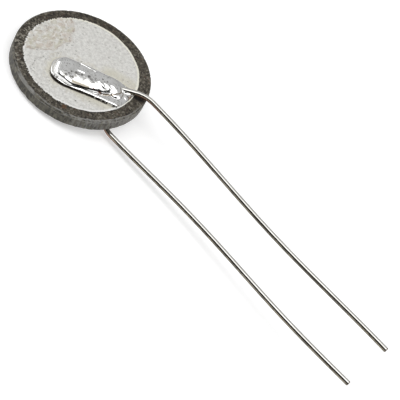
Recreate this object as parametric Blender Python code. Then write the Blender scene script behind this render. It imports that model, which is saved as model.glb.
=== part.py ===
"""A bare ceramic PTC resettable fuse: a disc with two radial wire leads.

Each face of the disc carries a thin silver coat, and a kinked lead is soldered to each coat.
Lengths are in metres. The disc lies flat in its own frame, with the leads along +X, and the
whole is tilted at the end to the place where it comes to rest on a table.
"""

import math

import bmesh
import bpy
import numpy as np
from mathutils import Vector

MM = 0.001

# The disc
DISC_DIAMETER = 16.0 * MM
DISC_THICKNESS = 1.5 * MM
DISC_EDGE_RADIUS = 0.12 * MM

# The silver coats, printed a little off the middle of the disc
COAT_DIAMETER = 13.5 * MM
COAT_THICKNESS = 0.04 * MM
FRONT_COAT_SHIFT = (-0.16 * MM, -0.05 * MM)
REAR_COAT_SHIFT = (0.10 * MM, 0.12 * MM)

# The leads: pitch between the two wires, and where they end, measured from the disc's middle
WIRE_DIAMETER = 0.6 * MM
LEAD_PITCH = 5.0 * MM
LEAD_PAIR_SHIFT = 0.55 * MM
LEAD_REACH = 45.3 * MM
SOLDERED_LENGTH = 6.6 * MM

# The kink that turns each lead across its face
KINK_ANGLE = math.radians(44)
KINK_RADIUS = 3.4 * MM
KINK_PAST_RIM = 0.3 * MM

# The slight bends of handling: offset at the disc, offset at the cut end, then a shallow wave
FRONT_BEND = {"near": 0.0, "far": -0.14 * MM, "wave": 0.27 * MM, "length": 35.6 * MM, "crest": 10.8 * MM}
REAR_BEND = {"near": 0.15 * MM, "far": -0.26 * MM, "wave": 0.21 * MM, "length": 31.0 * MM, "crest": 5.8 * MM}

# The solder beads: a long dome over the wire, on a thin skirt that spreads towards the rim
BEAD_LENGTH = 9.7 * MM
BEAD_HALF_WIDTH = 1.95 * MM
BEAD_HEIGHT = 1.2 * MM
BEAD_ANGLE = math.radians(34.7)
BEAD_OFF_WIRE = 0.66 * MM
BEAD_NOSE = 2.4 * MM
BEAD_SHOULDER = 0.55 * MM
SKIRT_HEIGHT = 0.22 * MM
SKIRT_WIDTH = 0.4 * MM
SKIRT_WIDTH_AT_RIM = 1.4 * MM
DOME_START = 0.7 * MM
DOME_RUN = 1.7 * MM
COAT_MARGIN = 0.15 * MM
SOLDER_UNDER_WIRE = 0.09 * MM

# The gap that stands for a joint face, so that neighbouring solids never overlap
TOUCH_GAP = 0.02 * MM

# How finely round shapes are divided
DISC_STEPS = 96
WIRE_RING = 6
FREE_STEPS = 22
KINK_STEPS = 8
BEAD_SIDE_STEPS = 16
BEAD_END_STEPS = 12
DOME_RINGS = 8

# Weights per volume, kg per cubic metre, which decide how the part lies on a table
CERAMIC_DENSITY = 5600
SILVER_DENSITY = 9500
SOLDER_DENSITY = 7400
WIRE_DENSITY = 8900

# Heights above a face of the ceramic
COAT_TOP = TOUCH_GAP + COAT_THICKNESS
BEAD_FOOT = COAT_TOP + TOUCH_GAP
WIRE_AXIS = BEAD_FOOT + SOLDER_UNDER_WIRE + TOUCH_GAP + WIRE_DIAMETER / 2


def clear_scene():
    for obj in list(bpy.data.objects):
        bpy.data.objects.remove(obj, do_unlink=True)


def material(name, colour, roughness, metallic):
    """A Principled BSDF with a linear RGB colour."""
    mat = bpy.data.materials.new(name)
    mat.use_nodes = True
    shader = mat.node_tree.nodes["Principled BSDF"]
    shader.inputs["Base Color"].default_value = (*colour, 1.0)
    shader.inputs["Roughness"].default_value = roughness
    shader.inputs["Metallic"].default_value = metallic
    mat.diffuse_color = (*colour, 1.0)
    return mat


def add_object(name, data, mat, parent):
    obj = bpy.data.objects.new(name, data)
    bpy.context.scene.collection.objects.link(obj)
    obj.data.materials.append(mat)
    obj.parent = parent
    return obj


def add_empty(name, parent=None):
    empty = bpy.data.objects.new(name, None)
    empty.empty_display_size = 2 * MM
    bpy.context.scene.collection.objects.link(empty)
    empty.parent = parent
    return empty


def mesh_from(bm, name):
    """A finished mesh with outward faces, smooth apart from its sharp edges."""
    bmesh.ops.recalc_face_normals(bm, faces=bm.faces)
    mesh = bpy.data.meshes.new(name)
    bm.to_mesh(mesh)
    bm.free()
    mesh.shade_smooth()
    mesh.set_sharp_from_angle(angle=math.radians(35))
    return mesh


def turned_disc(name, diameter, thickness, edge_radius, edge_steps):
    """A flat round plate about Z, its middle plane at z = 0, with both edges rounded."""
    radius = diameter / 2
    corner = radius - edge_radius
    profile = [(0.0, thickness / 2)]
    for end, start_angle in ((1, 90), (-1, 0)):
        for step in range(edge_steps + 1):
            angle = math.radians(start_angle - 90 * step / edge_steps)
            r = corner + edge_radius * math.cos(angle)
            z = end * (thickness / 2 - edge_radius) + edge_radius * math.sin(angle)
            profile.append((r, z))
    profile.append((0.0, -thickness / 2))
    bm = bmesh.new()
    line = [bm.verts.new((r, 0.0, z)) for r, z in profile]
    edges = [bm.edges.new(pair) for pair in zip(line, line[1:])]
    bmesh.ops.spin(
        bm,
        geom=line + edges,
        axis=(0, 0, 1),
        cent=(0, 0, 0),
        angle=2 * math.pi,
        steps=DISC_STEPS,
        use_merge=True,
    )
    bmesh.ops.remove_doubles(bm, verts=bm.verts, dist=edge_radius / 100)
    return mesh_from(bm, name)


def smooth_step(t):
    t = min(max(t, 0.0), 1.0)
    return t * t * (3 - 2 * t)


class Face:
    """One face of the disc, seen from outside it, with the leads along +X.

    Its origin is on the midline between the two leads, at the height of the ceramic.
    """

    def __init__(self, side, coat_shift, bend):
        self.disc_middle = np.array([0.0, -side * LEAD_PAIR_SHIFT])
        self.coat_middle = self.disc_middle + np.array(coat_shift)
        self.wetted_radius = COAT_DIAMETER / 2 - COAT_MARGIN
        self.bend = bend

    def lead_offset(self, x):
        """How far the free lead lies from the midline at x, and its slope there."""
        bend = self.bend
        start = DISC_DIAMETER / 2
        along = (x - start) / (LEAD_REACH - start)
        turn = 2 * math.pi / bend["length"]
        phase = turn * (x - bend["crest"])
        offset = LEAD_PITCH / 2 + bend["near"] * (1 - along) + bend["far"] * along
        slope = (bend["far"] - bend["near"]) / (LEAD_REACH - start)
        return offset + bend["wave"] * math.cos(phase), slope - bend["wave"] * turn * math.sin(phase)

    def lead_path(self, extra=0.0):
        """Points from the soldered end to the cut end. extra lengthens the soldered end."""
        free_start = DISC_DIAMETER / 2 + KINK_PAST_RIM
        free = []
        for step in range(FREE_STEPS + 1):
            x = free_start + (LEAD_REACH - free_start) * step / FREE_STEPS
            free.append((x, self.lead_offset(x)[0]))
        y, slope = self.lead_offset(free_start)
        heading = math.atan(slope)
        centre = (free_start + KINK_RADIUS * math.sin(heading), y - KINK_RADIUS * math.cos(heading))
        kink = []
        for step in range(KINK_STEPS, 0, -1):
            angle = heading + (KINK_ANGLE - heading) * step / KINK_STEPS
            kink.append((centre[0] - KINK_RADIUS * math.sin(angle), centre[1] + KINK_RADIUS * math.cos(angle)))
        reach = SOLDERED_LENGTH + extra
        inner = (kink[0][0] - reach * math.cos(KINK_ANGLE), kink[0][1] - reach * math.sin(KINK_ANGLE))
        return [Vector((x, y, WIRE_AXIS)) for x, y in [inner, *kink, *free]]

    def bead_exit(self):
        """Where the lead's axis crosses the edge of the wetted silver."""
        path = [np.array(p[:2]) for p in self.lead_path()]
        for a, b in zip(path, path[1:]):
            if np.linalg.norm(b - self.coat_middle) > self.wetted_radius:
                break
        low, high = 0.0, 1.0
        for _ in range(40):
            middle = (low + high) / 2
            inside = np.linalg.norm(a + (b - a) * middle - self.coat_middle) < self.wetted_radius
            low, high = (middle, high) if inside else (low, middle)
        return a + (b - a) * low


class Bead:
    """The outline and the height of a solder bead on one face.

    a runs inwards from the rim along the bead, and b runs across it, both from the wire's exit.
    """

    def __init__(self, face):
        self.face = face
        self.exit = face.bead_exit()
        self.inward = -np.array([math.cos(BEAD_ANGLE), math.sin(BEAD_ANGLE)])
        self.across = np.array([-math.sin(BEAD_ANGLE), math.cos(BEAD_ANGLE)])
        self.nose_start = BEAD_LENGTH - BEAD_NOSE

    def place(self, a, b):
        return self.exit + self.inward * a + self.across * b

    def edge(self, a, side):
        """The outline's b at a. The upper side (+1) draws in to the wire's shoulder near the rim."""
        if side < 0:
            return -BEAD_OFF_WIRE - BEAD_HALF_WIDTH
        ease = min(max(a / (self.nose_start / 2), 0.0), 1.0)
        full = BEAD_HALF_WIDTH - BEAD_OFF_WIRE
        return BEAD_SHOULDER + (full - BEAD_SHOULDER) * math.sin(ease * math.pi / 2)

    def edge_start(self, side):
        """The a at which that side of the outline meets the edge of the wetted silver."""
        low, high = -BEAD_LENGTH / 2, self.nose_start
        for _ in range(40):
            middle = (low + high) / 2
            out = np.linalg.norm(self.place(middle, self.edge(middle, side)) - self.face.coat_middle)
            low, high = (middle, high) if out > self.face.wetted_radius else (low, middle)
        return high

    def spine(self, share):
        """The crest line, from above the wire's exit (0) to the middle of the round nose (1)."""
        start = BEAD_SHOULDER
        return start + (self.nose_start - start) * share, -BEAD_OFF_WIRE * min(2 * share, 1.0)

    def columns(self):
        """Pairs of an outline point and the share of the crest line that it climbs to."""
        made = []
        starts = {side: self.edge_start(side) for side in (1, -1)}
        for step in range(BEAD_SIDE_STEPS + 1):
            share = step / BEAD_SIDE_STEPS
            a = starts[1] + (self.nose_start - starts[1]) * share
            made.append((self.place(a, self.edge(a, 1)), share))
        for step in range(1, BEAD_END_STEPS):
            angle = math.pi * step / BEAD_END_STEPS
            a = self.nose_start + BEAD_NOSE * math.sin(angle)
            b = -BEAD_OFF_WIRE + BEAD_HALF_WIDTH * math.cos(angle)
            made.append((self.place(a, b), 1.0))
        for step in range(BEAD_SIDE_STEPS, -1, -1):
            share = step / BEAD_SIDE_STEPS
            a = starts[-1] + (self.nose_start - starts[-1]) * share
            made.append((self.place(a, self.edge(a, -1)), share))
        first, last = made[0][0] - self.face.coat_middle, made[-1][0] - self.face.coat_middle
        begin, finish = math.atan2(last[1], last[0]), math.atan2(first[1], first[0])
        for step in range(1, BEAD_END_STEPS):
            angle = begin + (finish - begin) * step / BEAD_END_STEPS
            rim = np.array([math.cos(angle), math.sin(angle)]) * self.face.wetted_radius
            made.append((self.face.coat_middle + rim, 0.0))
        return made

    def skirt_width(self, a, towards_lower):
        """The width of the thin skirt outside the dome. It is widest on the lower side at the rim."""
        spread = smooth_step((self.nose_start / 2 + DOME_RUN - a) / (self.nose_start / 2))
        lower = SKIRT_WIDTH + (SKIRT_WIDTH_AT_RIM - SKIRT_WIDTH) * spread
        return SKIRT_WIDTH / 4 + (lower - SKIRT_WIDTH / 4) * towards_lower

    def crest(self, a):
        """The height of the crest above the bead's foot: low at the rim, where the wire comes out."""
        low = SKIRT_HEIGHT * 1.4
        return low + (BEAD_HEIGHT - low) * smooth_step((a - DOME_START) / DOME_RUN)

    def profile(self, outline, share):
        """Points from the outline up to the crest: over the skirt, then up the dome."""
        a, b = self.spine(share)
        top = self.place(a, b)
        reach = top - outline
        width = np.linalg.norm(reach)
        towards_lower = max(float(reach @ self.across), 0.0) / width
        skirt = min(self.skirt_width(a, towards_lower) / width, 0.8)
        points = [(0.0, 0.0), (skirt / 4, SKIRT_HEIGHT * 0.8), (skirt, SKIRT_HEIGHT)]
        rise = self.crest(a) - SKIRT_HEIGHT
        for ring in range(1, DOME_RINGS + 1):
            turn = math.pi / 2 * ring / DOME_RINGS
            points.append((skirt + (1 - skirt) * (1 - math.cos(turn)), SKIRT_HEIGHT + rise * math.sin(turn)))
        return [(*(outline + reach * along), BEAD_FOOT + height) for along, height in points]


def bead_mesh(name, bead):
    """The bead's outline lofted to its crest line, and closed by a flat foot."""
    bm = bmesh.new()
    columns = [[bm.verts.new(p) for p in bead.profile(*column)] for column in bead.columns()]
    bm.faces.new([column[0] for column in reversed(columns)])
    for left, right in zip(columns, columns[1:] + columns[:1]):
        for low in range(len(left) - 1):
            bm.faces.new((left[low], right[low], right[low + 1], left[low + 1]))
    bmesh.ops.remove_doubles(bm, verts=bm.verts, dist=TOUCH_GAP / 20)
    bmesh.ops.triangulate(bm, faces=bm.faces)
    return mesh_from(bm, name)


def wire_curve(name, path, radius):
    """A round wire along the path, with flat cut ends."""
    curve = bpy.data.curves.new(name, "CURVE")
    curve.dimensions = "3D"
    curve.bevel_depth = radius
    curve.bevel_resolution = WIRE_RING
    curve.use_fill_caps = True
    spline = curve.splines.new("POLY")
    spline.points.add(len(path) - 1)
    for point, place in zip(spline.points, path):
        point.co = (*place, 1.0)
    spline.use_smooth = True
    return curve


def drill_for_wire(bead_obj, face, parent):
    """Cuts the wire's blind hole into the bead, wider than the wire by the touch gap."""
    path = face.lead_path(extra=TOUCH_GAP)
    curve = wire_curve(f"{bead_obj.name}_bore", path, WIRE_DIAMETER / 2 + TOUCH_GAP)
    cutter = bpy.data.objects.new(f"{bead_obj.name}_bore", curve)
    bpy.context.scene.collection.objects.link(cutter)
    cutter.parent = parent
    cutter.hide_render = True
    cutter.display_type = "WIRE"
    bpy.context.view_layer.update()
    graph = bpy.context.evaluated_depsgraph_get()
    cutter_mesh = bpy.data.meshes.new_from_object(cutter.evaluated_get(graph))
    cutter_obj = bpy.data.objects.new(f"{bead_obj.name}_bore_mesh", cutter_mesh)
    bpy.context.scene.collection.objects.link(cutter_obj)
    cutter_obj.parent = parent
    cutter_obj.hide_render = True
    cutter_obj.display_type = "WIRE"
    bpy.data.objects.remove(cutter, do_unlink=True)
    cut = bead_obj.modifiers.new("wire_hole", "BOOLEAN")
    cut.operation = "DIFFERENCE"
    cut.solver = "EXACT"
    cut.object = cutter_obj


def build_side(prefix, side, coat_shift, bend, frame, mats):
    """The coat, the bead and the lead of one face. side is +1 for the front and -1 for the rear."""
    holder = add_empty(f"{prefix}_side", frame)
    holder.location = (0.0, LEAD_PAIR_SHIFT, side * DISC_THICKNESS / 2)
    holder.rotation_euler = (0.0 if side > 0 else math.pi, 0.0, 0.0)
    face = Face(side, coat_shift, bend)

    coat_mesh = turned_disc(f"{prefix}_electrode", COAT_DIAMETER, COAT_THICKNESS, COAT_THICKNESS / 4, 1)
    coat = add_object(f"{prefix}_electrode", coat_mesh, mats["silver"], holder)
    coat.location = (*face.coat_middle, TOUCH_GAP + COAT_THICKNESS / 2)

    bead_obj = add_object(f"{prefix}_solder", bead_mesh(f"{prefix}_solder", Bead(face)), mats["solder"], holder)
    drill_for_wire(bead_obj, face, holder)

    lead_curve = wire_curve(f"{prefix}_lead", face.lead_path(), WIRE_DIAMETER / 2)
    lead = add_object(f"{prefix}_lead", lead_curve, mats["tinned"], holder)
    return [(coat, SILVER_DENSITY), (bead_obj, SOLDER_DENSITY), (lead, WIRE_DENSITY)]


def finished_mesh(obj):
    """The object's mesh with its modifiers applied."""
    graph = bpy.context.evaluated_depsgraph_get()
    return bpy.data.meshes.new_from_object(obj.evaluated_get(graph))


def weigh(obj, density):
    """The object's mass and its first moment about the origin, from its signed tetrahedra."""
    mesh = finished_mesh(obj)
    mesh.calc_loop_triangles()
    corners = np.array([obj.matrix_world @ v.co for v in mesh.vertices])
    tris = corners[np.array([t.vertices for t in mesh.loop_triangles])]
    volumes = np.einsum("ij,ij->i", tris[:, 0], np.cross(tris[:, 1], tris[:, 2])) / 6
    bpy.data.meshes.remove(mesh)
    return volumes.sum() * density, (volumes[:, None] * tris.sum(axis=1) / 4).sum(axis=0) * density


def middle_of_mass(pieces):
    bpy.context.view_layer.update()
    weights = [weigh(obj, density) for obj, density in pieces]
    return Vector(sum(moment for _, moment in weights) / sum(mass for mass, _ in weights))


def world_corners(pieces):
    """Every corner of the finished pieces, in the world."""
    bpy.context.view_layer.update()
    corners = []
    for obj, _ in pieces:
        mesh = finished_mesh(obj)
        corners.extend(obj.matrix_world @ v.co for v in mesh.vertices)
        bpy.data.meshes.remove(mesh)
    return corners


def lies_over(face, point):
    """Whether the point is straight above the hull face, seen along the face's normal."""
    corners = [v.co for v in face.verts]
    foot = point - face.normal * (point - corners[0]).dot(face.normal)
    edges = zip(corners, corners[1:] + corners[:1])
    return all((b - a).cross(foot - a).dot(face.normal) > 0 for a, b in edges)


def rest_on_table(frame, pieces):
    """Tilts the frame onto the hull face under the middle of mass, with the rear face down."""
    balance = middle_of_mass(pieces)
    bm = bmesh.new()
    for corner in world_corners(pieces):
        bm.verts.new(corner)
    bmesh.ops.convex_hull(bm, input=bm.verts)
    bmesh.ops.recalc_face_normals(bm, faces=bm.faces)
    bm.normal_update()
    down = Vector((0.0, 0.0, -1.0))
    seats = [face for face in bm.faces if lies_over(face, balance)]
    seat = max(seats, key=lambda face: face.normal.dot(down))
    frame.rotation_mode = "QUATERNION"
    frame.rotation_quaternion = seat.normal.rotation_difference(down)
    bm.free()
    corners = np.array(world_corners(pieces))
    low, high = corners.min(axis=0), corners.max(axis=0)
    middle = (low + high) / 2
    frame.location = (-middle[0], -middle[1], -low[2])


def main():
    clear_scene()
    mats = {
        "ceramic": material("grey_ceramic", (0.075, 0.070, 0.062), 0.75, 0.0),
        "silver": material("fired_silver", (0.62, 0.60, 0.56), 0.6, 0.35),
        "solder": material("bright_solder", (0.72, 0.72, 0.71), 0.12, 1.0),
        "tinned": material("tinned_wire", (0.66, 0.64, 0.60), 0.25, 1.0),
    }
    frame = add_empty("resting_tilt")
    disc_mesh = turned_disc("ceramic_disc", DISC_DIAMETER, DISC_THICKNESS, DISC_EDGE_RADIUS, 3)
    disc = add_object("ceramic_disc", disc_mesh, mats["ceramic"], frame)
    front = build_side("front", 1, FRONT_COAT_SHIFT, FRONT_BEND, frame, mats)
    rear = build_side("rear", -1, REAR_COAT_SHIFT, REAR_BEND, frame, mats)
    rest_on_table(frame, [(disc, CERAMIC_DENSITY), *front, *rear])


main()
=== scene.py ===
# %% [markdown]
# A bare ceramic resettable fuse. The real part is a grey ceramic disc with a thin silver coat
# fired on each face. A tinned wire lies kinked across each coat under a long bead of solder.
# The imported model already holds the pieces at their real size. This script loads it, and then
# makes every piece again with the surface that the real one shows: rough grain and a chipped
# edge on the ceramic, a ragged stained print of silver, mirror bright solder and drawn wire.

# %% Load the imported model
import functools
import math

import bmesh
import bpy
import numpy as np
from mathutils import Matrix, Quaternion, Vector


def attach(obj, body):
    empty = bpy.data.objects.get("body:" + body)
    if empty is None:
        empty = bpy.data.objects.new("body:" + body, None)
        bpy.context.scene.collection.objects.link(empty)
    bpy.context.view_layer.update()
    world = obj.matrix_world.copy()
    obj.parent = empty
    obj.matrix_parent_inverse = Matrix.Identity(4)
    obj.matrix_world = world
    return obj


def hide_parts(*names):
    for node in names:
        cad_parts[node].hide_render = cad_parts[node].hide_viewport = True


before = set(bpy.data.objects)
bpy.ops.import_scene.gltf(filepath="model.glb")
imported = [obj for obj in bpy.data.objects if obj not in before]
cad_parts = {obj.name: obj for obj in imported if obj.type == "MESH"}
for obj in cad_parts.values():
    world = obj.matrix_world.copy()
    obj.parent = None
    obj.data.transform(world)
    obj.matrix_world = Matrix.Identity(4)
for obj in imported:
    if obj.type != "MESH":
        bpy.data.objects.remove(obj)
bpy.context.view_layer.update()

print("nodes:", sorted(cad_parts))

# %% [markdown]
# The fuse lies on a table as it would come to rest, so its disc is tilted a little. Every
# shape below is easier to draw in the disc's own frame: millimetres, the origin in the middle
# of the disc, +X along the leads and +Z out of the front face. The tilt is measured from the
# packed disc: its largest triangle lies in a flat face, and the middle of its box is the
# middle of the disc. A matrix then carries each finished mesh to its place on the table.

# %% Measure the disc's own frame
MM = 0.001


def corners_of(node):
    return np.array([v.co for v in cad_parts[node].data.vertices])


disc_corners = corners_of("ceramic_disc")
disc_middle = Vector((disc_corners.min(0) + disc_corners.max(0)) / 2)
flat_face = max(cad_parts["ceramic_disc"].data.polygons, key=lambda face: face.area)
face_normal = flat_face.normal * math.copysign(1, flat_face.normal.z)
disc_turn = Vector((0, 0, 1)).rotation_difference(face_normal)
DISC_PLACE = Matrix.LocRotScale(disc_middle, disc_turn, Vector((MM, MM, MM)))

own_corners = np.array([DISC_PLACE.inverted() @ Vector(corner) for corner in disc_corners])
DISC_RADIUS = float(np.linalg.norm(own_corners[:, :2], axis=1).max())
DISC_HALF = float(own_corners[:, 2].max())
print(f"disc of {2 * DISC_RADIUS:.2f} by {2 * DISC_HALF:.2f} mm")
print(f"tilted {math.degrees(disc_turn.angle):.1f} degrees")

# %% [markdown]
# Each face has a frame of its own, seen from outside the disc: its origin is half way between
# the two leads, at the height of the ceramic. The rear face is the front one turned half round
# about the line between the leads, so both faces can use the same drawing.

# %% The frames of the two faces
LEAD_PAIR_SHIFT = 0.55
FRONT, REAR = 1, -1
SIDE_NAMES = {FRONT: "front", REAR: "rear"}


def face_place(side):
    shift = Matrix.Translation((0, LEAD_PAIR_SHIFT, side * DISC_HALF))
    flip = Matrix.Rotation(0 if side == FRONT else math.pi, 4, "X")
    return DISC_PLACE @ shift @ flip


print("front face at height", round(face_place(FRONT).translation.z / MM, 2), "mm")

# %% [markdown]
# The camera looks down on the disc from the side of the leads' cut ends, through a long lens,
# and it is rolled, so that the leads run down to the right. Its numbers come from fitting the
# ellipses of the disc and the silver. The distance sets how much the disc is foreshortened.

# %% Camera
CAMERA_AIM = Vector((1.317, -0.155, 2.872)) * MM
CAMERA_DISTANCE = 195.9 * MM
CAMERA_AZIMUTH = 14.686
CAMERA_ELEVATION = 42.034
CAMERA_ROLL = math.radians(39.842)
CAMERA_LENS = 164.3


def new_object(name, data):
    item = bpy.data.objects.new(name, data)
    bpy.context.scene.collection.objects.link(item)
    return item


def direction_to(azimuth, elevation):
    """Degrees to a direction: azimuth 0 looks along -Y and 90 along +X, elevation goes up."""
    azimuth, elevation = math.radians(azimuth), math.radians(elevation)
    level = math.cos(elevation)
    return Vector((math.sin(azimuth) * level, -math.cos(azimuth) * level, math.sin(elevation)))


towards_camera = direction_to(CAMERA_AZIMUTH, CAMERA_ELEVATION)
camera_data = bpy.data.cameras.new("camera")
camera_data.lens = CAMERA_LENS
camera_data.sensor_width = 36.0
camera_data.clip_start = 10 * MM
camera_data.clip_end = 10.0
camera = new_object("camera", camera_data)
camera.location = CAMERA_AIM + towards_camera * CAMERA_DISTANCE
upright = (-towards_camera).to_track_quat("-Z", "Y")
camera.rotation_mode = "QUATERNION"
camera.rotation_quaternion = upright @ Quaternion((0, 0, 1), CAMERA_ROLL)
bpy.context.scene.camera = camera
bpy.context.scene.view_settings.view_transform = "Standard"
print("camera at", [round(v / MM, 1) for v in camera.location], "mm")

# %% [markdown]
# Shader and geometry trees are built with a few small helpers, which add their nodes to the
# tree that was opened last. What comes out of a node is a Signal. The signs + - * and / between
# signals and numbers add a maths node each, so a rule in this script reads like a formula. The
# others make fades, colour mixes and noise, most of what a procedural finish consists of.

# %% Helpers for node trees


class Signal:
    """What comes out of a node."""

    def __init__(self, socket):
        self.socket = socket

    def __abs__(self):
        return calc("ABSOLUTE", self)


def sign(operation, turned=False):
    """What an arithmetic sign does to a signal: it adds a maths node."""
    return lambda one, two: calc(operation, *((two, one) if turned else (one, two)))


for sign_name, operation in (("add", "ADD"), ("sub", "SUBTRACT"), ("mul", "MULTIPLY"), ("truediv", "DIVIDE")):
    setattr(Signal, f"__{sign_name}__", sign(operation))
    setattr(Signal, f"__r{sign_name}__", sign(operation, turned=True))

open_tree = None


def draw_in(tree):
    """Opens a tree: the helpers add their nodes to it from now on."""
    global open_tree
    open_tree = tree
    return tree


def add_node(kind, inputs=None, **settings):
    """Adds a node. Returns its outputs, and takes values or signals, by the socket's name or place."""
    node = open_tree.nodes.new(kind)
    for name, value in settings.items():
        setattr(node, name, value)
    for name, value in (inputs or {}).items():
        if isinstance(value, Signal):
            feed(node, name, value)
        else:
            node.inputs[name].default_value = value
    signals = [Signal(socket) for socket in node.outputs]
    named = {signal.socket.name: signal for signal in reversed(signals)}
    return {**named, **dict(enumerate(signals))}


def feed(node, name, signal):
    open_tree.links.new(signal.socket, node.inputs[name])


def calc(operation, *values):
    return add_node("ShaderNodeMath", dict(enumerate(values)), operation=operation)[0]


def vector_calc(operation, *values):
    made = add_node("ShaderNodeVectorMath", dict(enumerate(values)), operation=operation)
    return made["Value" if operation in ("LENGTH", "DISTANCE", "DOT_PRODUCT") else "Vector"]


def larger(one, two):
    return calc("MAXIMUM", one, two)


def dot(one, two):
    return vector_calc("DOT_PRODUCT", one, two)


def distance(one, two):
    return vector_calc("DISTANCE", one, two)


def fade(value, start, end, low=0.0, high=1.0):
    """Runs smoothly from low at start to high at end."""
    inputs = {"Value": value, "From Min": start, "From Max": end, "To Min": low, "To Max": high}
    return add_node("ShaderNodeMapRange", inputs, interpolation_type="SMOOTHSTEP")["Result"]


def mix(share, first, second, way="MIX"):
    """Between two colours."""
    return add_node("ShaderNodeMix", {0: share, 6: first, 7: second}, data_type="RGBA", blend_type=way)[2]


def blend(share, first, second):
    """Between two numbers."""
    return add_node("ShaderNodeMix", {0: share, 2: first, 3: second})[0]


def combine(**parts):
    """A vector from its X, Y and Z."""
    return add_node("ShaderNodeCombineXYZ", parts)[0]


def scaled(vector, length):
    return add_node("ShaderNodeVectorMath", {0: vector, "Scale": length}, operation="SCALE")[0]


def rgb(red, green, blue):
    return (red, green, blue, 1.0)


def noise(place, scale, detail=2.0, roughness=0.5):
    inputs = {"Vector": place, "Scale": scale, "Detail": detail, "Roughness": roughness}
    return add_node("ShaderNodeTexNoise", inputs)["Fac"]


print("helpers ready")

# %% [markdown]
# The setting is a small studio with a white floor and backdrop. Solder and wire are mirrors, so
# what they show is the studio: pale walls, bright lamps, and the dark open side where the
# camera stands. That opening gives the black lines along the leads and the bead. The camera
# itself sees pure white where the walls are. The floor gets a touch of its own light, so that it
# reads as white paper but still takes the fuse's soft shadow. Far from the lamps it gets some
# more, so that a view from low down shows no grey strip.

# %% Floor
FLOOR_HALF = 1.5
FLOOR_WHITE = 0.74
FLOOR_LIFT = 0.42
FAR_LIFT = 0.40
FAR_LIFT_RUN = (0.12, 0.45)


def floor_material():
    material = bpy.data.materials.new("white_paper")
    material.use_nodes = True
    shader = draw_in(material.node_tree).nodes["Principled BSDF"]
    shader.inputs["Base Color"].default_value = rgb(FLOOR_WHITE, FLOOR_WHITE, FLOOR_WHITE)
    shader.inputs["Roughness"].default_value = 1.0
    shader.inputs["Specular IOR Level"].default_value = 0.0
    rays = add_node("ShaderNodeLightPath")
    seen = larger(larger(rays["Is Camera Ray"], rays["Is Glossy Ray"]), rays["Is Transmission Ray"])
    away = vector_calc("LENGTH", add_node("ShaderNodeTexCoord")["Object"])
    far_lift = fade(away, *FAR_LIFT_RUN, 0.0, FAR_LIFT) * rays["Is Camera Ray"]
    shader.inputs["Emission Color"].default_value = rgb(1, 1, 1)
    feed(shader, "Emission Strength", seen * FLOOR_LIFT + far_lift)
    return material


floor_mesh = bpy.data.meshes.new("floor")
floor_corners = [(x * FLOOR_HALF, y * FLOOR_HALF, 0.0) for x, y in ((-1, -1), (1, -1), (1, 1), (-1, 1))]
floor_mesh.from_pydata(floor_corners, [], [(0, 1, 2, 3)])
floor = new_object("floor", floor_mesh)
floor.data.materials.append(floor_material())
print("floor of", 2 * FLOOR_HALF, "m")

# %% Walls of the studio
WALL_LOW = 0.42
WALL_HIGH = 0.57
OPENING = 0.02
OPENING_TOP = math.sin(math.radians(50))
OPENING_HALF_WIDTH = math.cos(math.radians(58))
OPENING_WAY = tuple(direction_to(20, 0))

world = bpy.data.worlds.new("studio_walls")
world.use_nodes = True
bpy.context.scene.world = world
walls = draw_in(world.node_tree)
seen_from = add_node("ShaderNodeSeparateXYZ", {0: add_node("ShaderNodeTexCoord")["Generated"]})
level = vector_calc("NORMALIZE", combine(X=seen_from["X"], Y=seen_from["Y"]))
across = fade(dot(level, OPENING_WAY), OPENING_HALF_WIDTH - 0.08, OPENING_HALF_WIDTH + 0.08)
below_top = fade(seen_from["Z"], OPENING_TOP - 0.03, OPENING_TOP + 0.03, 1.0, 0.0)
wall_level = fade(seen_from["Z"], 0.0, 0.9, WALL_LOW, WALL_HIGH)
wall_level = blend(across * below_top, wall_level, OPENING)
rays = add_node("ShaderNodeLightPath")
shown_white = larger(rays["Is Camera Ray"], rays["Is Transmission Ray"])
feed(walls.nodes["Background"], "Strength", blend(shown_white, wall_level, 1.0))
walls.nodes["Background"].inputs["Color"].default_value = rgb(1, 1, 1)
print("walls", WALL_LOW, "to", WALL_HIGH, "with an opening of", OPENING)

# %% [markdown]
# Five soft lamps stand round the disc. A wide one overhead gives the bead its long bright band.
# The fill beside it lights the disc and the paper but is hidden from mirrors, or the band would
# run on over the bead's nose. One low on the left gives the nose its bright edge, helped by a
# narrow strip above it, and one on the right gives the glints where the wire leaves the bead.

# %% Lamps
LAMP_DISTANCE = 300 * MM


def add_lamp(name, azimuth, elevation, size, level, shift=0.0):
    """A soft lamp aimed at the disc. level is how bright its face looks, shift moves it sideways."""
    data = bpy.data.lights.new(name, "AREA")
    data.shape = "RECTANGLE"
    data.size, data.size_y = (side * MM for side in size)
    data.energy = level * math.pi * data.size * data.size_y
    lamp = new_object(name, data)
    towards = direction_to(azimuth, elevation)
    lamp.location = disc_middle + towards * LAMP_DISTANCE
    lamp.rotation_mode = "QUATERNION"
    lamp.rotation_quaternion = towards.to_track_quat("Z", "Y")
    lamp.location += lamp.rotation_quaternion @ Vector((shift * MM, 0, 0))
    return lamp


add_lamp("overhead_lamp", azimuth=15, elevation=75, size=(500, 180), level=1.95, shift=50)
overhead_fill = add_lamp("overhead_fill", azimuth=15, elevation=75, size=(100, 180), level=1.95, shift=-250)
overhead_fill.visible_glossy = False
add_lamp("left_lamp", azimuth=-76, elevation=20, size=(385, 140), level=1.3, shift=67)
add_lamp("left_upper_strip", azimuth=-80, elevation=46, size=(240, 14), level=1.0)
add_lamp("right_strip", azimuth=95, elevation=24, size=(150, 170), level=1.6)
print("five lamps")

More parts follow.
